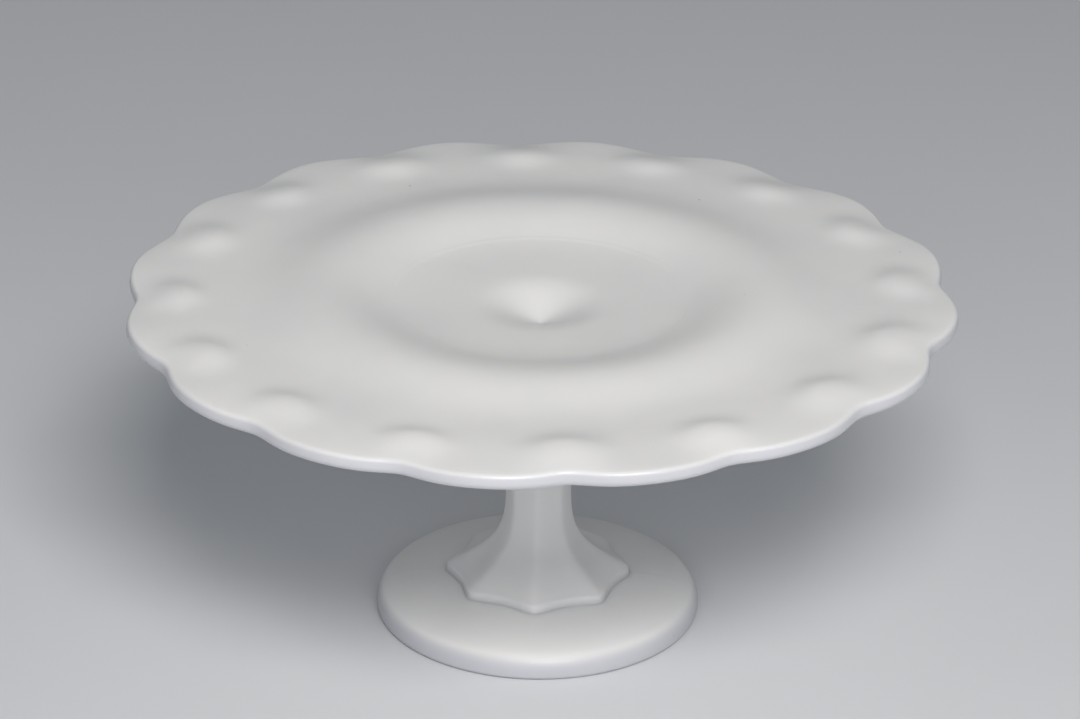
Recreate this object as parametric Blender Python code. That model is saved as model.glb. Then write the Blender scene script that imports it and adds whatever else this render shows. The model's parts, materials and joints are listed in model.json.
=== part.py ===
"""Pressed milk-glass cake stand: a scalloped plate, a joint wafer, an eight-sided stem and a round foot.

Blender units are metres, +Z is up, and the origin is the middle of the face that the foot stands on.
The four pieces are closed solids that meet face to face with a small gap, as before they are fused.
"""

from math import atan2, ceil, cos, hypot, pi, radians, sin, sqrt

import bmesh
import bpy
from mathutils import Matrix

MM = 0.001
JOINT_GAP = 0.3 * MM

# Plate outline. Heights are over the table; profile heights are over the middle of the rim's round lip.
PLATE_RADIUS = 140 * MM
RIM_HEIGHT = 115.8 * MM
LIP_TOP = 2.4 * MM
LIP_BOTTOM = -2.7 * MM
LIP_EDGE_ROUNDING = 1.4 * MM
LIP_HEEL_ROUNDING = 2.2 * MM
PLATE_WALL = 5.5 * MM
SCALLOPS = 16
SCALLOP_ARC_RADIUS = 40 * MM
NOTCH_ROUNDING = radians(2.3)
NOTCH_TURN = radians(3.8)
SCALLOP_FADE_START = 100 * MM
STEPS_PER_SCALLOP = 6

# Turned top surface of the plate: (radius, height, slope) from the middle dimple out to the rim.
RIM_EDGE = (PLATE_RADIUS - LIP_EDGE_ROUNDING, LIP_TOP, -0.05)
TOP_STATIONS = (
    (0, -9.2 * MM, 0.36),
    (10 * MM, -5.35 * MM, 0.40),
    (21 * MM, -2.05 * MM, 0.15),
    (45 * MM, -0.3 * MM, 0.12),
    (60 * MM, 3.65 * MM, 0.31),
    (72 * MM, 5.9 * MM, 0),
    (75 * MM, 5.9 * MM, 0),
    (85 * MM, 4.65 * MM, -0.18),
    (98 * MM, 2.95 * MM, -0.04),
    RIM_EDGE,
)
HEEL_CENTRE = PLATE_RADIUS - LIP_HEEL_ROUNDING
TOP_STEP = 7.6 * MM
UNDERSIDE_STEP = 13 * MM
THINNING_START = 118 * MM

# Raised drops on the plate, one at each notch between scallops.
DROP_MIDDLE_RADIUS = 123.8 * MM
DROP_HALF_LENGTH = 15 * MM
DROP_HALF_WIDTH = 14.5 * MM
DROP_HEIGHT = 2.4 * MM
DROP_UNDERSIDE_SHARE = 0.6

# Boss under the plate's middle, which the wafer joins to the stem.
BOSS_BOTTOM = 99.8 * MM
BOSS_RADIUS = 17.5 * MM
BOSS_ROOT_RADIUS = 24 * MM

# Joint wafer, with an edge that bulges out round.
WAFER_RADIUS = 17 * MM
WAFER_THICKNESS = 2.8 * MM
WAFER_STEPS = 36

# Stem: eight corners that run from a star on the foot, through a waist, to a round collar.
STEM_SIDES = 8
STEPS_PER_SIDE = 4
STAR_RADIUS = 31.6 * MM
STAR_HOLLOW = 3.0 * MM
STAR_LIP_HEIGHT = 2.9 * MM
STAR_LIP_ROUNDING = 1.5 * MM
STAR_TURN = radians(-2)
WAIST_RADIUS = 11.2 * MM
WAIST_HOLLOW = 0.2 * MM
WAIST_BOTTOM = 44.8 * MM
WAIST_TOP = 60.8 * MM
COLLAR_RADIUS = 16 * MM
COLLAR_BOTTOM = 91.8 * MM
COLLAR_ROUNDING = 1.4 * MM
STEM_TOP = BOSS_BOTTOM - 2 * JOINT_GAP - WAFER_THICKNESS

# Hollow that the plunger leaves up the middle of the stem.
PLUNGER_MOUTH_RADIUS = 17 * MM
PLUNGER_RADIUS = 5.2 * MM
PLUNGER_NARROW_HEIGHT = 36.8 * MM
PLUNGER_TIP = 60.8 * MM
PLUNGER_STEPS = 24

# Foot: a shallow dome with a thick round rim, hollow below and open in the middle.
FOOT_RADIUS = 55.7 * MM
FOOT_RIM_TOP = 9.1 * MM
FOOT_EDGE_ROUNDING = 6.5 * MM
FOOT_HEEL_ROUNDING = 1.7 * MM
FOOT_SEAT_HEIGHT = 12.6 * MM
FOOT_SEAT_RADIUS = 32 * MM
FOOT_HOLE_RADIUS = 18 * MM
FOOT_WALL = 5.2 * MM
STANDING_RING_INNER = 48 * MM
STANDING_RING_BREAK = 0.8 * MM
FOOT_STEPS = 64

SMOOTH_ANGLE = radians(35)
MILK_GLASS_COLOUR = (0.90, 0.90, 0.885, 1.0)


def smooth_step(x, low, high):
    """0 below low, 1 above high, with a smooth rise between them."""
    t = min(1.0, max(0.0, (x - low) / (high - low)))
    return t * t * (3 - 2 * t)


def hermite(x, left, right):
    """Height at x on the smooth curve between two (position, height, slope) stations."""
    span = right[0] - left[0]
    t = (x - left[0]) / span
    rise = t * t * (3 - 2 * t)
    bend = span * t * (1 - t) * ((1 - t) * left[2] - t * right[2])
    return left[1] + rise * (right[1] - left[1]) + bend


def bezier(points, steps):
    """Points along a cubic Bezier curve through the profile plane, with both ends."""
    curve = []
    for i in range(steps + 1):
        t = i / steps
        weights = ((1 - t) ** 3, 3 * t * (1 - t) ** 2, 3 * t * t * (1 - t), t**3)
        curve.append(tuple(sum(w * p[axis] for w, p in zip(weights, points)) for axis in (0, 1)))
    return curve


def arc(centre, radius, start_degrees, end_degrees, count):
    """Points along an arc in the profile plane, with both ends."""
    points = []
    for i in range(count):
        angle = radians(start_degrees + (end_degrees - start_degrees) * i / (count - 1))
        points.append((centre[0] + radius * cos(angle), centre[1] + radius * sin(angle)))
    return points


def spin_profile(points, steps):
    """Closed mesh of a (radius, height) outline turned once about Z. Its ends lie on the axis, or it is a ring."""
    mesh = bmesh.new()
    verts = [mesh.verts.new((radius, 0, height)) for radius, height in points]
    edges = [mesh.edges.new(pair) for pair in zip(verts, verts[1:])]
    if points[0][0] > 0:
        edges.append(mesh.edges.new((verts[-1], verts[0])))
    bmesh.ops.spin(mesh, geom=verts + edges, axis=(0, 0, 1), cent=(0, 0, 0), steps=steps, angle=2 * pi)
    bmesh.ops.remove_doubles(mesh, verts=mesh.verts, dist=0.001 * MM)
    bmesh.ops.recalc_face_normals(mesh, faces=mesh.faces)
    return mesh


def make_object(name, mesh, material):
    """Puts a bmesh in the scene as a named object with smooth round faces."""
    data = bpy.data.meshes.new(name)
    mesh.to_mesh(data)
    mesh.free()
    data.shade_smooth()
    data.set_sharp_from_angle(angle=SMOOTH_ANGLE)
    data.materials.append(material)
    made = bpy.data.objects.new(name, data)
    bpy.context.scene.collection.objects.link(made)
    return made


def milk_glass(name):
    """Opaque white pressed glass, one material for each piece."""
    material = bpy.data.materials.new(name)
    material.use_nodes = True
    shader = material.node_tree.nodes["Principled BSDF"]
    shader.inputs["Base Color"].default_value = MILK_GLASS_COLOUR
    shader.inputs["Roughness"].default_value = 0.18
    shader.inputs["Metallic"].default_value = 0.0
    return material


def top_height(radius):
    """Height of the plate's turned top surface over the middle of its lip."""
    for left, right in zip(TOP_STATIONS, TOP_STATIONS[1:]):
        if radius <= right[0]:
            return hermite(radius, left, right)
    return RIM_EDGE[1]


def underside_height(radius):
    """Height of the plate's underside, which follows the top and thins to the lip."""
    thinning = (PLATE_WALL - LIP_TOP + LIP_BOTTOM) * smooth_step(radius, THINNING_START, HEEL_CENTRE)
    return top_height(radius) - PLATE_WALL + thinning


def plate_profile():
    """Outline of the plate: the top from the middle out, the lip, the underside and the boss."""
    top = [(0, RIM_HEIGHT + top_height(0))]
    for left, right in zip(TOP_STATIONS, TOP_STATIONS[1:]):
        steps = ceil((right[0] - left[0]) / TOP_STEP)
        radii = (left[0] + (right[0] - left[0]) * (i + 1) / steps for i in range(steps))
        top += [(radius, RIM_HEIGHT + top_height(radius)) for radius in radii]
    lip = arc((RIM_EDGE[0], RIM_HEIGHT + LIP_TOP - LIP_EDGE_ROUNDING), LIP_EDGE_ROUNDING, 87, 0, 3)
    lip += arc((HEEL_CENTRE, RIM_HEIGHT + LIP_BOTTOM + LIP_HEEL_ROUNDING), LIP_HEEL_ROUNDING, 0, -90, 3)
    reach = HEEL_CENTRE - BOSS_ROOT_RADIUS
    steps = ceil(reach / UNDERSIDE_STEP)
    radii = (HEEL_CENTRE - reach * (i + 1) / steps for i in range(steps))
    under = [(radius, RIM_HEIGHT + underside_height(radius)) for radius in radii]
    root = under[-1]
    boss_curve = (root, (BOSS_RADIUS, root[1]), (BOSS_RADIUS, root[1]), (BOSS_RADIUS, BOSS_BOTTOM))
    boss = bezier(boss_curve, 3)[1:]
    return top[:-1] + lip + under + boss + [(0, BOSS_BOTTOM)]


def angle_from_notch(angle):
    """Signed angle from the nearest notch between two scallops."""
    pitch = 2 * pi / SCALLOPS
    return (angle - NOTCH_TURN + pitch / 2) % pitch - pitch / 2


def scallop_depth(angle):
    """How far the edge of the plate lies inside its full radius at this angle."""
    from_notch = sqrt(angle_from_notch(angle) ** 2 + NOTCH_ROUNDING**2)
    from_crown = sqrt((pi / SCALLOPS) ** 2 + NOTCH_ROUNDING**2) - from_notch
    centre = PLATE_RADIUS - SCALLOP_ARC_RADIUS
    edge = centre * cos(from_crown) + sqrt(SCALLOP_ARC_RADIUS**2 - (centre * sin(from_crown)) ** 2)
    return PLATE_RADIUS - edge


def drop_height(radius, angle):
    """Height of the raised drops over the turned surface."""
    along = (radius - DROP_MIDDLE_RADIUS) / DROP_HALF_LENGTH
    across = radius * angle_from_notch(angle) / DROP_HALF_WIDTH
    return DROP_HEIGHT * max(0.0, 1 - along**2 - across**2) ** 1.5


def build_plate():
    """The plate, turned first, then scalloped round its edge and raised into a drop at each notch."""
    mesh = spin_profile(plate_profile(), SCALLOPS * STEPS_PER_SCALLOP)
    bmesh.ops.rotate(mesh, cent=(0, 0, 0), matrix=Matrix.Rotation(NOTCH_TURN, 3, "Z"), verts=mesh.verts)
    for vert in mesh.verts:
        radius = hypot(vert.co.x, vert.co.y)
        if radius <= SCALLOP_FADE_START:
            continue
        angle = atan2(vert.co.y, vert.co.x)
        pull = scallop_depth(angle) * smooth_step(radius, SCALLOP_FADE_START, RIM_EDGE[0])
        on_top = vert.co.z > RIM_HEIGHT
        lift = drop_height(radius, angle) * (1 if on_top else DROP_UNDERSIDE_SHARE)
        vert.co.x -= pull * cos(angle)
        vert.co.y -= pull * sin(angle)
        vert.co.z += lift
    return make_object("plate", mesh, milk_glass("plate_glass"))


def build_wafer():
    """The disc of glass that joins the plate to the stem."""
    bottom = STEM_TOP + JOINT_GAP
    half = WAFER_THICKNESS / 2
    edge = arc((WAFER_RADIUS - half, bottom + half), half, -90, 90, 5)
    profile = [(0, bottom)] + edge + [(0, bottom + WAFER_THICKNESS)]
    return make_object("joint_wafer", spin_profile(profile, WAFER_STEPS), milk_glass("wafer_glass"))


def stem_profile():
    """Outline of the solid stem along one of its eight corners, from the middle of its base to its top."""
    base = FOOT_SEAT_HEIGHT + JOINT_GAP
    lip_top = base + STAR_LIP_HEIGHT
    lip_centre = (STAR_RADIUS - STAR_LIP_ROUNDING, lip_top - STAR_LIP_ROUNDING)
    lip = [(0, base), (STAR_RADIUS, base)] + arc(lip_centre, STAR_LIP_ROUNDING, 0, 90, 3)
    waist = (WAIST_RADIUS, WAIST_BOTTOM)
    flare = bezier((lip[-1], (14 * MM, 24.6 * MM), (WAIST_RADIUS, 29.1 * MM), waist), 7)[1:]
    rise = ((WAIST_RADIUS, WAIST_TOP), (WAIST_RADIUS, 76.8 * MM), (COLLAR_RADIUS, 80.8 * MM))
    neck = bezier(rise + ((COLLAR_RADIUS, COLLAR_BOTTOM),), 4)
    collar = arc((COLLAR_RADIUS - COLLAR_ROUNDING, STEM_TOP - COLLAR_ROUNDING), COLLAR_ROUNDING, 0, 90, 3)
    return lip + flare + neck + collar + [(0, STEM_TOP)]


def side_share(angle, hollow_share):
    """Radius of an eight-sided outline with hollow sides, as a share of its corner radius."""
    half_side = pi / STEM_SIDES
    from_corner = (angle - STAR_TURN + half_side) % (2 * half_side) - half_side
    from_middle = half_side - abs(from_corner)
    straight = cos(half_side) / cos(from_middle)
    return straight - hollow_share * (1 - (from_middle / half_side) ** 2)


def build_stem():
    """The stem: turned, pulled in between its eight corners, then hollowed from below by a plunger."""
    mesh = spin_profile(stem_profile(), STEM_SIDES * STEPS_PER_SIDE)
    bmesh.ops.rotate(mesh, cent=(0, 0, 0), matrix=Matrix.Rotation(STAR_TURN, 3, "Z"), verts=mesh.verts)
    for vert in mesh.verts:
        radius = hypot(vert.co.x, vert.co.y)
        if radius < WAIST_RADIUS - 0.01 * MM:
            continue
        flared = smooth_step(radius, WAIST_RADIUS, STAR_RADIUS)
        hollow = WAIST_HOLLOW + (STAR_HOLLOW - WAIST_HOLLOW) * flared
        share = side_share(atan2(vert.co.y, vert.co.x), hollow / radius)
        share += (1 - share) * smooth_step(vert.co.z, WAIST_TOP, COLLAR_BOTTOM)
        vert.co.x *= share
        vert.co.y *= share
    stem = make_object("stem", mesh, milk_glass("stem_glass"))
    hollow_cut = stem.modifiers.new("plunger_hollow", "BOOLEAN")
    hollow_cut.operation = "DIFFERENCE"
    hollow_cut.object = build_plunger()
    return stem


def build_plunger():
    """Cutter for the hollow up the stem: wide at the mouth, narrow above, with a round tip."""
    below = FOOT_SEAT_HEIGHT - 4 * MM
    mouth = (PLUNGER_MOUTH_RADIUS, FOOT_SEAT_HEIGHT)
    narrow = (PLUNGER_RADIUS, PLUNGER_NARROW_HEIGHT)
    taper = bezier((mouth, (8.5 * MM, 17.8 * MM), (PLUNGER_RADIUS, 24.8 * MM), narrow), 5)
    tip = arc((0, PLUNGER_TIP - PLUNGER_RADIUS), PLUNGER_RADIUS, 0, 90, 4)[:-1]
    profile = [(0, below), (PLUNGER_MOUTH_RADIUS, below)] + taper + tip + [(0, PLUNGER_TIP)]
    plunger = make_object("plunger", spin_profile(profile, PLUNGER_STEPS), milk_glass("plunger"))
    plunger.hide_render = True
    plunger.display_type = "WIRE"
    return plunger


def foot_profile():
    """Outline of the foot's wall: the seat, the dome, the rim, the standing ring and the hollow below."""
    seat = [(FOOT_HOLE_RADIUS, FOOT_SEAT_HEIGHT), (FOOT_SEAT_RADIUS, FOOT_SEAT_HEIGHT)]
    edge_centre = (FOOT_RADIUS - FOOT_EDGE_ROUNDING, FOOT_RIM_TOP - FOOT_EDGE_ROUNDING)
    edge = arc(edge_centre, FOOT_EDGE_ROUNDING, 66, 0, 6)
    dome = bezier((seat[-1], (38 * MM, 12.2 * MM), (47 * MM, 10.7 * MM), edge[0]), 5)[1:-1]
    heel = arc((FOOT_RADIUS - FOOT_HEEL_ROUNDING, FOOT_HEEL_ROUNDING), FOOT_HEEL_ROUNDING, 0, -90, 4)
    ring_inside = [(STANDING_RING_INNER, 0)]
    ceiling = FOOT_SEAT_HEIGHT - FOOT_WALL
    vault_foot = (STANDING_RING_INNER - STANDING_RING_BREAK, STANDING_RING_BREAK)
    vault_top = (FOOT_HOLE_RADIUS, ceiling)
    vault = bezier((vault_foot, (42 * MM, 5.4 * MM), (36 * MM, ceiling), vault_top), 5)
    return seat + dome + edge + heel + ring_inside + vault


def build_foot():
    """The round foot that the stem's star sits on."""
    return make_object("foot", spin_profile(foot_profile(), FOOT_STEPS), milk_glass("foot_glass"))


def main():
    """Clears the scene and builds the four pieces."""
    for leftover in list(bpy.data.objects):
        bpy.data.objects.remove(leftover)
    build_plate()
    build_wafer()
    build_stem()
    build_foot()


main()
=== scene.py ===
"""The looks of a footed cake stand in opaque white pressed glass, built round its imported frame."""

import json
import logging
from dataclasses import dataclass
from enum import Enum
from math import atan2, cos, exp, hypot, pi, radians, sin, sqrt
from random import Random

import bmesh
import bpy
from mathutils import Matrix, Vector


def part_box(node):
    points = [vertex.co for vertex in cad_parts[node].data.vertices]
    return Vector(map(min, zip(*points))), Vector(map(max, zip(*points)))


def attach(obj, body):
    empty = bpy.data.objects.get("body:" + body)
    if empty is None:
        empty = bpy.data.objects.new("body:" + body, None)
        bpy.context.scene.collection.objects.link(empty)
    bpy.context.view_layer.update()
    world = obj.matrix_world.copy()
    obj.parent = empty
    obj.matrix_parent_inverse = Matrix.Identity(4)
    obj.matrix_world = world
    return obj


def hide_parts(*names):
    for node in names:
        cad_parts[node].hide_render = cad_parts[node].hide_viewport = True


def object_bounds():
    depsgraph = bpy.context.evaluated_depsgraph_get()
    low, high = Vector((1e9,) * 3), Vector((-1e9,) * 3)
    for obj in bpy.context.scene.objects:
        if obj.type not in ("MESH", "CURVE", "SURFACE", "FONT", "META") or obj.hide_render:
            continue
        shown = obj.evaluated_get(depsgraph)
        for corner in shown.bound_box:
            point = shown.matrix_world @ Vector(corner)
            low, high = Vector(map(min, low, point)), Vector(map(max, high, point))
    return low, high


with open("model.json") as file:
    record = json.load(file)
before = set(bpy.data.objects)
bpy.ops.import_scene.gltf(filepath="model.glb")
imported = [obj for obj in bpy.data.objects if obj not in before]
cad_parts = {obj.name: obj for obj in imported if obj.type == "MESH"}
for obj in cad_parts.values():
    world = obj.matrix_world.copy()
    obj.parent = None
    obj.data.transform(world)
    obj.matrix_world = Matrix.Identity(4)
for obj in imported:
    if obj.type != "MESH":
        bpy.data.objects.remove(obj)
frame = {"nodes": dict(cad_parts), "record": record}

CAD_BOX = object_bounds()
ROOT_BODY = "root"
MM = 0.001
MERGE_GAP = 0.002 * MM
SHARP_ANGLE = radians(50)
LOG = logging.getLogger("cake_stand")

Colour = tuple[float, float, float]
Point = tuple[float, float]


# Shader graph


class Signal:
    """A shader socket that takes part in arithmetic, where each operator adds a Math node."""

    def __init__(self, graph: "NodeGraph", socket: bpy.types.NodeSocket) -> None:
        """Keeps the socket and the graph that new nodes go in."""
        self.graph = graph
        self.socket = socket

    def __add__(self, other: "Signal | float") -> "Signal":
        """This value plus another."""
        return self.graph.math("ADD", self, other)

    def __rsub__(self, other: "Signal | float") -> "Signal":
        """A number less this value."""
        return self.graph.math("SUBTRACT", other, self)

    def __mul__(self, other: "Signal | float") -> "Signal":
        """This value times another."""
        return self.graph.math("MULTIPLY", self, other)

    __radd__ = __add__


class NodeGraph:
    """The node tree of one material."""

    def __init__(self, material: bpy.types.Material) -> None:
        """Empties the material's tree and adds its output.

        Args:
            material: The material that the nodes make up.
        """
        material.use_nodes = True
        self.tree = material.node_tree
        self.tree.nodes.clear()
        self.output = self.tree.nodes.new("ShaderNodeOutputMaterial")

    def node(self, kind: str, settings: dict[str, object], inputs: dict[str | int, object]) -> bpy.types.Node:
        """Adds a node.

        Args:
            kind: The node's type, without the "ShaderNode" in front.
            settings: Properties of the node, which are set first.
            inputs: A value, a colour or a Signal for each socket, by its name or its index.

        Returns:
            The new node.
        """
        made = self.tree.nodes.new("ShaderNode" + kind)
        for name, value in settings.items():
            setattr(made, name, value)
        for key, value in inputs.items():
            if isinstance(value, Signal):
                self.tree.links.new(value.socket, made.inputs[key])
            else:
                made.inputs[key].default_value = value
        return made

    def math(self, operation: str, *values: "Signal | float") -> Signal:
        """A Math node on one, two or three values."""
        made = self.node("Math", {"operation": operation}, dict(enumerate(values)))
        return Signal(self, made.outputs[0])

    def place(self) -> Signal:
        """The point on the piece, in metres."""
        return Signal(self, self.node("TexCoord", {}, {}).outputs["Object"])

    def attribute(self, name: str) -> Signal:
        """A number that the piece's mesh carries at each point."""
        return Signal(self, self.node("Attribute", {"attribute_name": name}, {}).outputs["Fac"])

    def noise(self, scale: float, detail: float = 2.0, roughness: float = 0.5) -> Signal:
        """Soft noise from 0 to 1, with scale in cycles to the metre."""
        inputs = {"Vector": self.place(), "Scale": scale, "Detail": detail, "Roughness": roughness}
        return Signal(self, self.node("TexNoise", {}, inputs).outputs["Fac"])

    def spots(self, scale: float) -> Signal:
        """Distance to the nearest of many scattered points, as a share of their spacing."""
        inputs = {"Vector": self.place(), "Scale": scale}
        return Signal(self, self.node("TexVoronoi", {}, inputs).outputs["Distance"])

    def ramp(self, value: Signal, low: float, high: float) -> Signal:
        """Turns a value into a mask.

        Args:
            value: The value to read.
            low: The value that gives 0, as all values below it do.
            high: The value that gives 1, as all values above it do.

        Returns:
            The mask, with a smooth rise between the two.
        """
        settings = {"interpolation_type": "SMOOTHSTEP"}
        made = self.node("MapRange", settings, {"Value": value, "From Min": low, "From Max": high})
        return Signal(self, made.outputs["Result"])

    def tint(self, share: Signal, base: "Signal | Colour", other: "Signal | Colour") -> Signal:
        """Mixes two colours.

        Args:
            share: How much of other there is, from 0 to 1.
            base: The colour where share is 0.
            other: The colour where share is 1.

        Returns:
            The mixed colour.
        """
        ends = {6: base if isinstance(base, Signal) else (*base, 1.0)}
        ends[7] = other if isinstance(other, Signal) else (*other, 1.0)
        made = self.node("Mix", {"data_type": "RGBA"}, {0: share, **ends})
        return Signal(self, made.outputs[2])

    def bump(self, height: Signal, depth: float, under: Signal | None = None) -> Signal:
        """Bumps the surface.

        Args:
            height: The height, from 0 to 1.
            depth: What a height of 1 stands for, in metres.
            under: The normal of a bump that this one lies on.

        Returns:
            The bumped normal.
        """
        inputs = {"Height": height, "Distance": depth, "Strength": 1.0}
        if under is not None:
            inputs["Normal"] = under
        return Signal(self, self.node("Bump", {}, inputs).outputs["Normal"])


class Polish(Enum):
    """How glossy the fire left a piece, as the roughness of its skin."""

    BRIGHT = 0.34
    SOFT = 0.42


@dataclass(frozen=True)
class MilkGlass:
    """Opaque white glass, clouded through, with a cool grey painted shade laid on the lips and the foot's
    rim.

    Scales are in cycles to the metre, and a pair of limits is what a mask's 0 and 1 stand for.
    """

    name: str
    polish: Polish
    body: Colour = (0.80, 0.794, 0.785)
    cloud: Colour = (0.77, 0.767, 0.763)
    # Painted shade: a cool grey that darkens the lip faces and the foot's rim.
    painted_shade: Colour = (0.56, 0.563, 0.60)
    speck: Colour = (0.42, 0.38, 0.34)
    speck_share: float = 0.8
    cloud_scale: float = 24.0
    cloud_limits: tuple[float, float] = (0.35, 0.7)
    glow: float = 0.7
    glow_depth: float = 5 * MM
    glow_reach: Colour = (1.0, 0.93, 0.85)
    refraction: float = 1.51
    skin_scale: float = 70.0
    skin_limits: tuple[float, float] = (0.3, 0.75)
    skin_roughness: float = 0.03
    chill_scale: float = 55.0
    chill_depth: float = 0.08 * MM
    peel_scale: float = 420.0
    peel_depth: float = 0.006 * MM
    pit_scale: float = 75.0
    pit_limits: tuple[float, float] = (0.018, 0.045)
    pit_patch_scale: float = 31.0
    pit_patch_limits: tuple[float, float] = (0.60, 0.64)
    pit_roughness: float = 0.2
    pit_depth: float = 0.08 * MM

    def build(self) -> bpy.types.Material:
        """Makes the material.

        Returns:
            A material that reads the mesh's painted-shade weights and Object coordinates.
        """
        material = bpy.data.materials.new(self.name)
        graph = NodeGraph(material)
        clouding = graph.ramp(graph.noise(self.cloud_scale, 3.0), *self.cloud_limits)
        colour = graph.tint(clouding, self.body, self.cloud)
        # Painted shade, laid on where the mesh's weights ask for it: the lips and the foot's rim.
        colour = graph.tint(graph.attribute("painted_shade"), colour, self.painted_shade)
        pits = self.pits(graph)
        colour = graph.tint(pits * self.speck_share, colour, self.speck)
        skin = graph.ramp(graph.noise(self.skin_scale, 3.0, 0.6), *self.skin_limits)
        roughness = self.polish.value + skin * self.skin_roughness + pits * self.pit_roughness
        chill = graph.bump(graph.noise(self.chill_scale, 1.0), self.chill_depth)
        peel = graph.bump(graph.noise(self.peel_scale, 1.0), self.peel_depth, chill)
        pitted = graph.bump(1 - pits, self.pit_depth, peel)
        inputs = {
            "Base Color": colour,
            "Roughness": roughness,
            "Normal": pitted,
            "IOR": self.refraction,
            "Subsurface Weight": self.glow,
            "Subsurface Radius": self.glow_reach,
            "Subsurface Scale": self.glow_depth,
        }
        shader = graph.node("BsdfPrincipled", {"subsurface_method": "RANDOM_WALK"}, inputs)
        graph.tree.links.new(shader.outputs["BSDF"], graph.output.inputs["Surface"])
        return material

    def pits(self, graph: NodeGraph) -> Signal:
        """Scatters a few pin-head pits and specks of grit, far apart.

        Args:
            graph: The material's nodes.

        Returns:
            A mask that is 1 on a pit and 0 elsewhere.
        """
        near = 1 - graph.ramp(graph.spots(self.pit_scale), *self.pit_limits)
        chosen = graph.ramp(graph.noise(self.pit_patch_scale, 0.0), *self.pit_patch_limits)
        return near * chosen


@dataclass(frozen=True)
class PaleSweep:
    """The matt pale paper that the stand is set on."""

    name: str = "pale_paper"
    light: Colour = (0.70, 0.71, 0.73)
    dark: Colour = (0.675, 0.685, 0.705)
    fibre_scale: float = 9.0
    roughness: float = 0.85

    def build(self) -> bpy.types.Material:
        """Makes the material.

        Returns:
            A matt material with a faint fibre in it.
        """
        material = bpy.data.materials.new(self.name)
        graph = NodeGraph(material)
        fibre = graph.noise(self.fibre_scale, 4.0, 0.6)
        inputs = {"Base Color": graph.tint(fibre, self.light, self.dark), "Roughness": self.roughness}
        shader = graph.node("BsdfPrincipled", {}, inputs)
        graph.tree.links.new(shader.outputs["BSDF"], graph.output.inputs["Surface"])
        return material


# Turned shapes


@dataclass(frozen=True)
class TurnPoint:
    """One point of an outline that is turned about the stand's axis."""

    radius: float
    height: float
    # Weight of the painted shade at this point, from 0 to 1.
    painted_shade: float = 0.0
    shaped: float = 1.0


@dataclass(frozen=True)
class Station:
    """A place that a turned surface passes through, with its slope there."""

    radius: float
    height: float
    slope: float = 0.0


class TurnedSurface:
    """A smooth surface of height over radius, through stations given from the axis outwards."""

    def __init__(self, *stations: Station) -> None:
        """Keeps the stations."""
        self.stations = stations

    def height(self, radius: float) -> float:
        """Runs a cubic curve between the two stations on either side.

        Args:
            radius: Distance from the axis.

        Returns:
            Height of the surface there.
        """
        pairs = zip(self.stations, self.stations[1:])
        left, right = next((pair for pair in pairs if radius <= pair[1].radius), self.stations[-2:])
        span = right.radius - left.radius
        t = min(1.0, (radius - left.radius) / span)
        rise = t * t * (3 - 2 * t)
        bend = span * t * (1 - t) * ((1 - t) * left.slope - t * right.slope)
        return left.height + rise * (right.height - left.height) + bend


def smooth_step(x: float, low: float, high: float) -> float:
    """0 below low, 1 above high, with a smooth rise between them."""
    t = min(1.0, max(0.0, (x - low) / (high - low)))
    return t * t * (3 - 2 * t)


def spaced(start: float, end: float, step: float) -> list[float]:
    """Evenly spaced values from start to end, without start, at most a step apart."""
    count = max(1, round(abs(end - start) / step))
    return [start + (end - start) * (i + 1) / count for i in range(count)]


def arc(centre: Point, radius: float, start: float, end: float, count: int) -> list[Point]:
    """Points along an arc in the profile plane, from start to end in degrees, with both ends."""
    angles = [radians(start + (end - start) * i / (count - 1)) for i in range(count)]
    return [(centre[0] + radius * cos(a), centre[1] + radius * sin(a)) for a in angles]


def bezier(*points: Point, steps: int) -> list[Point]:
    """Draws a cubic Bezier curve in the profile plane.

    Args:
        points: The curve's first end, its two pulls and its last end.
        steps: How many points it has.

    Returns:
        The points along it, without its first end.
    """
    curve = []
    for i in range(1, steps + 1):
        t = i / steps
        weights = ((1 - t) ** 3, 3 * t * (1 - t) ** 2, 3 * t * t * (1 - t), t**3)
        curve.append(tuple(sum(w * p[axis] for w, p in zip(weights, points)) for axis in (0, 1)))
    return curve


def angle_from(angle: float, start: float, count: int) -> float:
    """Signed angle from the nearest of count evenly spaced directions, the first of them at start."""
    pitch = 2 * pi / count
    return (angle - start + pitch / 2) % pitch - pitch / 2


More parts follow.
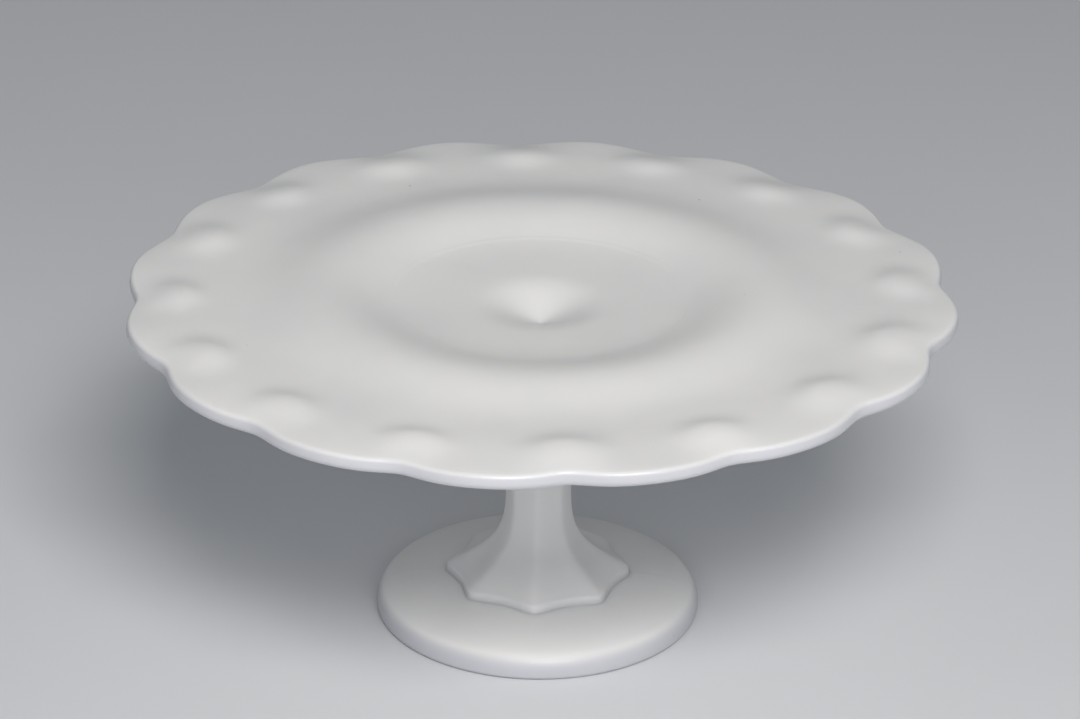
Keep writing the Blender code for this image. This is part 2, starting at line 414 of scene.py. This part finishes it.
@dataclass(kw_only=True)
class TurnedPiece:
    """A piece of glass that is turned from an outline and then shaped by its mould."""

    name: str
    node: str
    finish: MilkGlass
    steps: int

    def outline(self) -> list[TurnPoint]:
        """Outline of the piece. Its ends lie on the axis, or it closes into a ring."""
        raise NotImplementedError

    def mould(self, vert: bmesh.types.BMVert, shaped: float) -> None:
        """Moves one turned point to where the mould leaves it; shaped is the outline's share of that."""

    def build(self) -> bpy.types.Object:
        """Makes the piece, dresses it and puts it in the frame in place of its plain solid.

        Returns:
            The finished piece.
        """
        mesh = self.turned()
        shaped = mesh.verts.layers.float["shaped"]
        for vert in mesh.verts:
            self.mould(vert, vert[shaped])
        mesh.verts.layers.float.remove(shaped)
        bmesh.ops.recalc_face_normals(mesh, faces=mesh.faces)
        data = bpy.data.meshes.new(self.name)
        mesh.to_mesh(data)
        mesh.free()
        data.shade_smooth()
        data.set_sharp_from_angle(angle=SHARP_ANGLE)
        data.materials.append(self.finish.build())
        piece = bpy.data.objects.new(self.name, data)
        bpy.context.scene.collection.objects.link(piece)
        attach(piece, ROOT_BODY)
        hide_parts(self.node)
        frame_slot(self.node)
        LOG.info("%s stands for %s: %d faces", self.name, self.node, len(data.polygons))
        return piece

    def turned(self) -> bmesh.types.BMesh:
        """Turns the outline once about the axis.

        Returns:
            The turned mesh, with the outline's painted-shade weight and shaped value on every point.
        """
        mesh = bmesh.new()
        # A layer that carries the painted-shade weight to the material.
        painted_shade = mesh.verts.layers.float.new("painted_shade")
        shaped = mesh.verts.layers.float.new("shaped")
        points = self.outline()
        verts = []
        for point in points:
            vert = mesh.verts.new((point.radius, 0, point.height))
            vert[painted_shade] = point.painted_shade
            vert[shaped] = point.shaped
            verts.append(vert)
        edges = [mesh.edges.new(pair) for pair in zip(verts, verts[1:])]
        if points[0].radius > 0:
            edges.append(mesh.edges.new((verts[-1], verts[0])))
        turn = {"axis": (0, 0, 1), "cent": (0, 0, 0), "steps": self.steps, "angle": 2 * pi}
        bmesh.ops.spin(mesh, geom=verts + edges, use_merge=True, **turn)
        bmesh.ops.remove_doubles(mesh, verts=mesh.verts, dist=MERGE_GAP)
        return mesh


def frame_slot(node: str) -> str:
    """The record's material slot of a node."""
    rows = frame["record"]["subparts"]
    return next(row["material_slot"] for row in rows if row["node"] == node)


def reach(node: str) -> float:
    """Largest distance of a node's solid from the stand's axis."""
    return max(hypot(vert.co.x, vert.co.y) for vert in frame["nodes"][node].data.vertices)


# Pieces


@dataclass(kw_only=True)
class Plate(TurnedPiece):
    """The scalloped plate: dimple, well, raised ring, sixteen drops and a round lip."""

    crest_height: float
    edge_radius: float
    boss_bottom: float
    crest_over_lip: float = 5.9 * MM
    lip_top: float = 2.4 * MM
    lip_bottom: float = -2.7 * MM
    lip_edge: float = 1.4 * MM
    lip_heel: float = 2.2 * MM
    lip_draft: float = 0.25 * MM
    # Painted shade on the lip's round edge, steep face and heel, darkening them.
    lip_painted_shade: float = 0.9
    lip_edge_points: int = 10
    wall: float = 5.5 * MM
    boss_radius: float = 17.5 * MM
    boss_root: float = 24 * MM
    scallops: int = 16
    scallop_arc: float = 40 * MM
    notch_rounding: float = radians(2.3)
    notch_turn: float = radians(3.8)
    scallop_wave: float = 0.4 * MM
    scallops_from: float = 100 * MM
    thinning_from: float = 118 * MM
    drop_radius: float = 123.8 * MM
    drop_inner_length: float = 9.8 * MM
    drop_outer_length: float = 12.2 * MM
    drop_width: float = 11.4 * MM
    drop_height: float = 2.4 * MM
    drop_bluntness: float = 2.4
    drop_share_below: float = 0.6
    unevenness: float = 0.12
    hand_seed: int = 16
    ring_line_radius: float = 50.5 * MM
    ring_line_width: float = 0.6 * MM
    ring_line_height: float = 0.06 * MM
    saddle_warp: float = 1.0 * MM
    saddle_turn: float = -0.386

    def __post_init__(self) -> None:
        """Works out the turned top surface and each drop's own irregularity."""
        self.lip_level = self.crest_height - self.crest_over_lip
        self.rim_edge = self.edge_radius - self.lip_draft - self.lip_edge
        self.top = TurnedSurface(
            Station(0, -9.2 * MM, 0.30),
            Station(4 * MM, -7.75 * MM, 0.40),
            Station(10 * MM, -5.35 * MM, 0.40),
            Station(16 * MM, -3.15 * MM, 0.31),
            Station(21 * MM, -2.05 * MM, 0.14),
            Station(28 * MM, -1.55 * MM, 0.06),
            Station(40 * MM, -0.8 * MM, 0.085),
            Station(48 * MM, 0.15 * MM, 0.17),
            Station(52 * MM, 1.1 * MM, 0.30),
            Station(60 * MM, 3.65 * MM, 0.31),
            Station(73.5 * MM, self.crest_over_lip, 0),
            Station(85 * MM, 4.65 * MM, -0.18),
            Station(98 * MM, 2.95 * MM, -0.05),
            Station(114 * MM, 2.95 * MM, 0.01),
            Station(126 * MM, 2.85 * MM, -0.03),
            Station(self.rim_edge, self.lip_top, -0.06),
        )
        draw = Random(self.hand_seed)
        most = self.unevenness
        self.drop_sizes = [1 + draw.uniform(-most, most) for _ in range(self.scallops)]
        self.notch_depths = [1 + draw.uniform(-most, most) for _ in range(self.scallops)]

    def outline(self) -> list[TurnPoint]:
        """Draws the plate's profile.

        Returns:
            The top from the middle out, the lip, the underside and the boss.
        """
        top = [0.0]
        fine, coarse = 0.35 * MM, 1.5 * MM
        for end, step in ((3, fine), (48, coarse), (53, fine), (100, coarse), (128, MM)):
            top += spaced(top[-1], end * MM, step)
        top += spaced(top[-1], self.rim_edge, 0.6 * MM)[:-1]
        points = [TurnPoint(r, self.lip_level + self.top.height(r) + self.ring_line(r)) for r in top]
        for i, (r, z) in enumerate(self.lip()):
            # Painted shade that rises round the lip's edge to its full weight on the face and heel.
            painted_shade = self.lip_painted_shade * min(1.0, i / self.lip_edge_points)
            points.append(TurnPoint(r, self.lip_level + z, painted_shade))
        under = spaced(self.edge_radius - self.lip_heel, self.boss_root, 2.2 * MM)[1:]
        points += [TurnPoint(r, self.lip_level + self.underside(r)) for r in under]
        root = (under[-1], points[-1].height)
        corner = (self.boss_radius, root[1])
        boss = bezier(root, corner, corner, (self.boss_radius, self.boss_bottom), steps=10)
        points += [TurnPoint(r, z) for r, z in boss]
        return points + [TurnPoint(0, self.boss_bottom)]

    def lip(self) -> list[Point]:
        """Draws the lip over its own middle.

        Returns:
            The points of its round upper edge, its steep face and its rounder heel.
        """
        crown, face, sole = 87, 8, -90
        edge_middle = (self.rim_edge, self.lip_top - self.lip_edge)
        edge = arc(edge_middle, self.lip_edge, crown, face, self.lip_edge_points)
        heel_middle = (self.edge_radius - self.lip_heel, self.lip_bottom + self.lip_heel)
        return edge + arc(heel_middle, self.lip_heel, face, sole, 12)

    def ring_line(self, radius: float) -> float:
        """Fine raised line that a joint in the mould leaves at the foot of the well's wall."""
        off = (radius - self.ring_line_radius) / self.ring_line_width
        return self.ring_line_height * exp(-(off**2))

    def underside(self, radius: float) -> float:
        """Follows the top at the wall's thickness, and thins to the lip.

        Args:
            radius: Distance from the axis.

        Returns:
            Height of the underside over the lip's middle.
        """
        thinning = self.wall - (self.lip_top - self.lip_bottom)
        thinning *= smooth_step(radius, self.thinning_from, self.edge_radius - self.lip_heel)
        return self.top.height(radius) - self.wall + thinning

    def from_notch(self, angle: float) -> float:
        """Signed angle from the nearest notch between two scallops."""
        return angle_from(angle, self.notch_turn, self.scallops)

    def notch_index(self, angle: float) -> int:
        """Number of the nearest notch, counted round from the first."""
        return round((angle - self.notch_turn) / (2 * pi / self.scallops)) % self.scallops

    def edge_inset(self, angle: float) -> float:
        """Draws the edge as scallops that meet in rounded notches.

        Args:
            angle: Direction from the axis.

        Returns:
            How far the plate's edge lies inside its full radius there.
        """
        half_pitch = pi / self.scallops
        from_notch = sqrt(self.from_notch(angle) ** 2 + self.notch_rounding**2)
        from_crown = sqrt(half_pitch**2 + self.notch_rounding**2) - from_notch
        centre = self.edge_radius - self.scallop_arc
        edge = centre * cos(from_crown) + sqrt(self.scallop_arc**2 - (centre * sin(from_crown)) ** 2)
        return (self.edge_radius - edge) * self.notch_depths[self.notch_index(angle)]

    def drop_lift(self, radius: float, angle: float) -> float:
        """Raises a drop inside each notch, blunt towards the middle and longer towards the notch.

        Args:
            radius: Distance from the axis.
            angle: Direction from the axis.

        Returns:
            Height of the nearest drop there.
        """
        size = self.drop_sizes[self.notch_index(angle)]
        length = self.drop_outer_length if radius > self.drop_radius else self.drop_inner_length
        along = (radius - self.drop_radius) / (length * size)
        across = radius * self.from_notch(angle) / (self.drop_width * size)
        return self.drop_height * size * exp(-hypot(along, across) ** self.drop_bluntness)

    def mould(self, vert: bmesh.types.BMVert, shaped: float) -> None:
        """Scallops the edge, raises the drops and warps the plate as it was finished by hand.

        Args:
            vert: The point to move.
            shaped: How far the scallops shape it, from 0 to 1.
        """
        radius = hypot(vert.co.x, vert.co.y)
        angle = atan2(vert.co.y, vert.co.x)
        outer = smooth_step(radius, self.scallops_from, self.rim_edge)
        pull = self.edge_inset(angle) * outer * shaped
        lift = self.drop_lift(radius, angle)
        if vert.co.z < self.lip_level:
            lift *= self.drop_share_below
        wave = -self.scallop_wave * cos(self.scallops * self.from_notch(angle)) * outer
        warp = self.saddle_warp * cos(2 * (angle - self.saddle_turn)) * (radius / self.edge_radius) ** 2
        vert.co.x -= pull * cos(angle)
        vert.co.y -= pull * sin(angle)
        vert.co.z += lift + wave + warp


@dataclass(kw_only=True)
class JointWafer(TurnedPiece):
    """The disc of hot glass that joins the plate to the stem, squeezed out into a soft bead."""

    bottom: float
    top: float
    radius: float
    overlap: float = 0.35 * MM
    squeeze: float = 0.25 * MM

    def outline(self) -> list[TurnPoint]:
        """Draws the disc, run a little into the pieces on both sides, since they are fused.

        Returns:
            The underside, the round bead and the top.
        """
        low, high = self.bottom - self.overlap, self.top + self.overlap
        half = (high - low) / 2
        bead = arc((self.radius - half, low + half), half, -90, 90, 13)
        return [TurnPoint(0, low)] + [TurnPoint(r, z) for r, z in bead] + [TurnPoint(0, high)]

    def mould(self, vert: bmesh.types.BMVert, shaped: float) -> None:
        """Squeezes the bead out a little unevenly.

        Args:
            vert: The point to move.
            shaped: Not used, since nothing in the disc is kept out of the squeeze.
        """
        radius = hypot(vert.co.x, vert.co.y)
        angle = atan2(vert.co.y, vert.co.x)
        share = smooth_step(radius, self.radius / 2, self.radius)
        swell = 1 + share * self.squeeze / self.radius * (cos(3 * angle + 1) + 0.6 * cos(5 * angle))
        vert.co.x *= swell
        vert.co.y *= swell


@dataclass(kw_only=True)
class Stem(TurnedPiece):
    """The eight-sided stem, from a star on the foot through a slim waist to a round collar."""

    base: float
    top: float
    star_radius: float
    sides: int = 8
    turn: float = radians(-2)
    corner_rounding: float = 1.5 * MM
    tip_rounding: float = 2.8 * MM
    star_hollow: float = 3.0 * MM
    star_lip: float = 2.9 * MM
    lip_rounding: float = 1.8 * MM
    lip_fillet: float = 0.9 * MM
    # Painted shade on the star's lip.
    lip_painted_shade: float = 0.15
    joint_gap: float = 0.35 * MM
    waist_radius: float = 11.2 * MM
    waist_hollow: float = 0.2 * MM
    waist_bottom: float = 44.8 * MM
    waist_top: float = 60.8 * MM
    collar_radius: float = 16 * MM
    collar_bottom: float = 91.8 * MM
    collar_rounding: float = 1.4 * MM
    mouth_radius: float = 17 * MM
    plunger_radius: float = 5.2 * MM
    plunger_tip: float = 60.8 * MM
    plunger_shoulder: float = 36.8 * MM
    sunk: float = 2.5 * MM

    def outline(self) -> list[TurnPoint]:
        """Draws the stem's corner line and its hollow.

        Returns:
            The plunger's hollow from its tip down, then the star, the flare, the waist and the collar.
        """
        base = self.base - self.sunk
        lip_top = self.base + self.star_lip
        rounding = self.lip_rounding
        lip = arc((self.star_radius - rounding, lip_top - rounding), rounding, 0, 68, 7)
        flare_pulls = ((14 * MM, 24.6 * MM), (self.waist_radius, 29.1 * MM))
        flare = bezier(lip[-1], *flare_pulls, (self.waist_radius, self.waist_bottom), steps=44)
        waist = [(self.waist_radius, z) for z in spaced(self.waist_bottom, self.waist_top, 2 * MM)]
        neck_pulls = ((self.waist_radius, 76.8 * MM), (self.collar_radius, 80.8 * MM))
        neck = bezier(waist[-1], *neck_pulls, (self.collar_radius, self.collar_bottom), steps=20)
        bend = self.collar_rounding
        collar = arc((self.collar_radius - bend, self.top - bend), bend, 0, 90, 7)
        fillet_middle = (self.star_radius + self.lip_fillet, self.base - self.joint_gap + self.lip_fillet)
        fillet = arc(fillet_middle, self.lip_fillet, 270, 180, 8)
        outside = [(self.mouth_radius, base), (self.star_radius + self.lip_fillet, base)]
        outside += fillet + lip + flare
        outside += waist + neck + collar + [(0, self.top)]
        return self.hollow() + [TurnPoint(r, z, self.painted_shade_weight(r, z)) for r, z in outside]

    def painted_shade_weight(self, radius: float, height: float) -> float:
        """Weight of the painted shade, which only the star's lip gets, most at its outer edge."""
        near_edge = smooth_step(radius, self.star_radius - 3 * MM, self.star_radius)
        return self.lip_painted_shade * near_edge * (height < self.base + self.star_lip + MM)

    def hollow(self) -> list[TurnPoint]:
        """Draws what the plunger leaves, which the mould's eight sides don't shape.

        Returns:
            The hollow from its round tip down to its mouth.
        """
        tip = arc((0, self.plunger_tip - self.plunger_radius), self.plunger_radius, 90, 0, 7)
        mouth = (self.mouth_radius, self.base - self.sunk)
        pulls = ((self.plunger_radius, 24.8 * MM), (8.5 * MM, 17.8 * MM))
        shoulder = (self.plunger_radius, self.plunger_shoulder)
        taper = bezier(shoulder, *pulls, mouth, steps=14)
        inside = [(0.0, self.plunger_tip)] + tip[1:] + [shoulder] + taper[:-1]
        return [TurnPoint(r, z, shaped=0) for r, z in inside]

    def side_share(self, from_corner: float, hollow: float) -> float:
        """Draws one level of the eight-sided outline, all of it as shares of its sharp corner's radius.

        Args:
            from_corner: Angle from the nearest corner.
            hollow: How deep the sides are hollowed at their middles.

        Returns:
            Radius of the outline.
        """
        half_side = pi / self.sides
        from_middle = half_side - from_corner
        return cos(half_side) / cos(from_middle) - hollow * (1 - (from_middle / half_side) ** 2)

    def mould(self, vert: bmesh.types.BMVert, shaped: float) -> None:
        """Draws the stem in between its eight corners.

        Args:
            vert: The point to move.
            shaped: 0 in the plunger's hollow, which stays round.
        """
        radius = hypot(vert.co.x, vert.co.y)
        if radius < self.waist_radius - 0.01 * MM or not shaped:
            return
        if vert.co.z < self.base and radius < self.star_radius - MM:
            return
        angle = atan2(vert.co.y, vert.co.x)
        flared = smooth_step(radius, self.waist_radius, self.star_radius)
        hollow = self.waist_hollow + (self.star_hollow - self.waist_hollow) * flared
        rounding = self.corner_rounding + (self.tip_rounding - self.corner_rounding) * flared**2
        rounding /= radius
        from_corner = sqrt(angle_from(angle, self.turn, self.sides) ** 2 + rounding**2)
        share = self.side_share(from_corner, hollow / radius)
        share /= self.side_share(rounding, hollow / radius)
        share += (1 - share) * smooth_step(vert.co.z, self.waist_top, self.collar_bottom)
        vert.co.x *= share
        vert.co.y *= share


@dataclass(kw_only=True)
class Foot(TurnedPiece):
    """The round foot: a low dome with a thick round rim, standing on a ring."""

    radius: float
    seat_height: float
    rim_top: float = 9.1 * MM
    edge_rounding: float = 6.5 * MM
    edge_sweep: float = 66
    heel: float = 1.7 * MM
    # Painted shade on the rim, rising from this radius out to the foot's edge.
    painted_shade_from: float = 53 * MM
    seat_radius: float = 32 * MM
    hole_radius: float = 18 * MM
    wall: float = 5.2 * MM
    ring_inner: float = 48 * MM
    ring_break: float = 0.8 * MM
    seams: int = 4
    seam_turn: float = radians(-92)
    seam_height: float = 0.05 * MM
    seam_width: float = 0.8 * MM

    def outline(self) -> list[TurnPoint]:
        """Draws the foot's profile.

        Returns:
            The seat, the dome, the rim, the standing ring and the hollow below, closed into a ring.
        """
        seat = [(r, self.seat_height) for r in spaced(self.hole_radius, self.seat_radius, 2 * MM)]
        rounding = self.edge_rounding
        edge = arc((self.rim_edge(), self.rim_top - rounding), rounding, self.edge_sweep, 0, 12)
        dome_pulls = ((38 * MM, 12.2 * MM), (47 * MM, 10.7 * MM))
        dome = bezier(seat[-1], *dome_pulls, edge[0], steps=26)
        heel = arc((self.radius - self.heel, self.heel), self.heel, 0, -90, 12)
        ceiling = self.seat_height - self.wall
        ring = [(self.ring_inner, 0.0), (self.ring_inner - self.ring_break, self.ring_break)]
        vault_pulls = ((42 * MM, 5.4 * MM), (36 * MM, ceiling))
        vault = bezier(ring[-1], *vault_pulls, (self.hole_radius, ceiling), steps=22)
        start = [(self.hole_radius, self.seat_height)]
        profile = start + seat + dome + edge[1:] + heel + ring + vault
        # Painted shade darkens the rim, rising towards the foot's edge.
        return [TurnPoint(r, z, smooth_step(r, self.painted_shade_from, self.radius)) for r, z in profile]

    def mould(self, vert: bmesh.types.BMVert, shaped: float) -> None:
        """Raises the faint seams where the mould's quarters met.

        Args:
            vert: The point to move.
            shaped: Not used, since the seams keep to the dome and the rim by their place.
        """
        radius = hypot(vert.co.x, vert.co.y)
        if radius < self.seat_radius or vert.co.z < self.heel:
            return
        across = radius * angle_from(atan2(vert.co.y, vert.co.x), self.seam_turn, self.seams)
        ridge = self.seam_height * exp(-((across / self.seam_width) ** 2))
        out = smooth_step(radius, self.rim_edge(), self.radius)
        vert.co.z += ridge * (1 - out)
        vert.co.x *= 1 + ridge * out / radius
        vert.co.y *= 1 + ridge * out / radius

    def rim_edge(self) -> float:
        """Radius where the dome turns over into the round rim."""
        return self.radius - self.edge_rounding


# Studio


@dataclass(frozen=True)
class SoftBox:
    """A large soft lamp, aimed at the middle of the stand."""

    name: str
    azimuth: float
    elevation: float
    distance: float
    width: float
    height: float
    power: float
    colour: Colour

    def build(self, target: Vector) -> bpy.types.Object:
        """Hangs the lamp.

        Args:
            target: The point it is aimed at.

        Returns:
            The lamp.
        """
        lamp = bpy.data.lights.new(self.name, "AREA")
        lamp.shape = "RECTANGLE"
        lamp.size = self.width
        lamp.size_y = self.height
        lamp.energy = self.power
        lamp.color = self.colour
        made = bpy.data.objects.new(self.name, lamp)
        level = cos(self.elevation)
        back = Vector((sin(self.azimuth) * level, -cos(self.azimuth) * level, sin(self.elevation)))
        made.matrix_world = Matrix.Translation(target + back * self.distance) @ (
            back.to_track_quat("Z", "Y").to_matrix().to_4x4()
        )
        bpy.context.scene.collection.objects.link(made)
        return made


@dataclass(frozen=True)
class Viewpoint:
    """The camera, in front of the stand and above it."""

    distance: float = 1.2403
    height: float = 0.6649
    pitch: float = radians(24.75)
    lean: float = 0.0108
    lens: float = 134.5

    def build(self) -> bpy.types.Object:
        """Puts up the camera and makes it the scene's own.

        Returns:
            The camera.
        """
        data = bpy.data.cameras.new("camera")
        data.lens = self.lens
        data.sensor_width = 36.0
        data.clip_start = 0.05
        camera = bpy.data.objects.new("camera", data)
        aim = Matrix.Rotation(pi / 2 - self.pitch, 4, "X") @ Matrix.Rotation(self.lean, 4, "Z")
        camera.matrix_world = Matrix.Translation((0, -self.distance, self.height)) @ aim
        bpy.context.scene.collection.objects.link(camera)
        bpy.context.scene.camera = camera
        return camera


@dataclass(frozen=True)
class Studio:
    """Pale paper, a soft key lamp beside the camera and an even sky."""

    floor_size: float = 6.0
    floor_drop: float = 0.1 * MM
    sky: Colour = (0.90, 0.95, 1.0)
    sky_strength: float = 0.23
    aim_share: float = 0.8
    key: SoftBox = SoftBox(
        name="key_lamp",
        azimuth=radians(9),
        elevation=radians(42.5),
        distance=1.5,
        width=0.6,
        height=0.45,
        power=16.7,
        colour=(1.0, 0.98, 0.955),
    )
    fill: SoftBox = SoftBox(
        name="front_fill",
        azimuth=radians(1),
        elevation=radians(21),
        distance=2.4,
        width=2.8,
        height=0.9,
        power=10.5,
        colour=(0.93, 0.955, 1.0),
    )

    def build(self) -> None:
        """Makes the floor, the lamps, the sky and the camera."""
        self.floor()
        target = Vector((0, 0, CAD_BOX[1].z * self.aim_share))
        for lamp in (self.key, self.fill):
            lamp.build(target)
        self.world()
        Viewpoint().build()
        scene = bpy.context.scene
        scene.view_settings.view_transform = "Standard"
        LOG.info("studio is lit")

    def floor(self) -> None:
        """Lays the paper just under the foot."""
        mesh = bmesh.new()
        bmesh.ops.create_grid(mesh, x_segments=8, y_segments=8, size=self.floor_size / 2)
        data = bpy.data.meshes.new("floor")
        mesh.to_mesh(data)
        mesh.free()
        data.materials.append(PaleSweep().build())
        made = bpy.data.objects.new("floor", data)
        made.location.z = -self.floor_drop
        bpy.context.scene.collection.objects.link(made)

    def world(self) -> None:
        """Lights the scene evenly from all round."""
        world = bpy.data.worlds.new("sky")
        world.use_nodes = True
        background = world.node_tree.nodes["Background"]
        background.inputs["Color"].default_value = (*self.sky, 1.0)
        background.inputs["Strength"].default_value = self.sky_strength
        bpy.context.scene.world = world


def stand_pieces() -> list[TurnedPiece]:
    """Sizes the stand's four pieces from the frame.

    Returns:
        The pieces, from the plate down.
    """
    boss_bottom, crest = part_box("plate")[0].z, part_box("plate")[1].z
    wafer_low, wafer_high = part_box("joint_wafer")
    stem_low, stem_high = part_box("stem")
    return [
        Plate(
            name="scalloped_plate",
            node="plate",
            finish=MilkGlass("plate_glass", Polish.BRIGHT),
            steps=320,
            crest_height=crest,
            edge_radius=reach("plate"),
            boss_bottom=boss_bottom,
        ),
        JointWafer(
            name="fused_wafer",
            node="joint_wafer",
            finish=MilkGlass("wafer_glass", Polish.SOFT),
            steps=160,
            bottom=wafer_low.z,
            top=wafer_high.z,
            radius=reach("joint_wafer"),
        ),
        Stem(
            name="star_stem",
            node="stem",
            finish=MilkGlass("stem_glass", Polish.SOFT),
            steps=256,
            base=stem_low.z,
            top=stem_high.z,
            star_radius=reach("stem"),
        ),
        Foot(
            name="round_foot",
            node="foot",
            finish=MilkGlass("foot_glass", Polish.SOFT),
            steps=512,
            radius=reach("foot"),
            seat_height=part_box("foot")[1].z,
        ),
    ]


def main() -> None:
    """Builds the studio and the stand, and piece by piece."""
    logging.basicConfig(level=logging.INFO, format="%(name)s: %(message)s")
    Studio().build()
    for piece in stand_pieces():
        piece.build()


if __name__ == "__main__":
    main()
